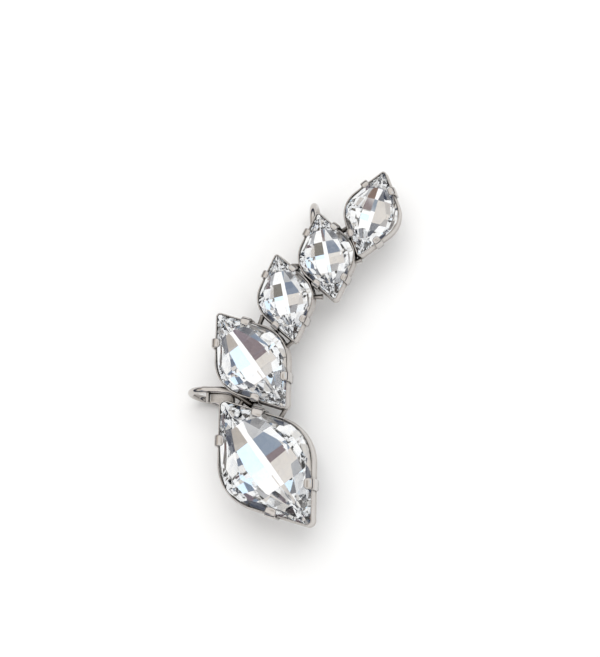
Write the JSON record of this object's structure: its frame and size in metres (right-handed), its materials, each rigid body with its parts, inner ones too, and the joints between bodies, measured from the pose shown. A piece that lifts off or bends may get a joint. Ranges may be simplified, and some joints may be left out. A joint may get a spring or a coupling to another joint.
{
  "type": "ear cuff",
  "caption": "ear cuff: foil-backed lemon-shaped crystals in claw settings soldered in a curved row, with a wire clip and a wire hook that hold the ear's edge",
  "frame": {"origin": "middle of the bounding box, at the level of the surface that the cuff lies on", "axes": "+Y along the row from the large crystal to the small ones, +X to the right as worn face up, +Z out of the crystals' faces"},
  "size_m": [0.0276, 0.0448, 0.0104],
  "materials": {
    "silver_plate": "polished rhodium plate, warm silver grey, on brass",
    "crystal": "clear cut crystal with a silver foil back"
  },
  "bodies": {
    "root": {"metalwork": "silver_plate", "crystal_large": "crystal", "crystal_medium": "crystal", "crystal_small_lower": "crystal", "crystal_small_middle": "crystal", "crystal_small_upper": "crystal"}
  },
  "joints": []
}
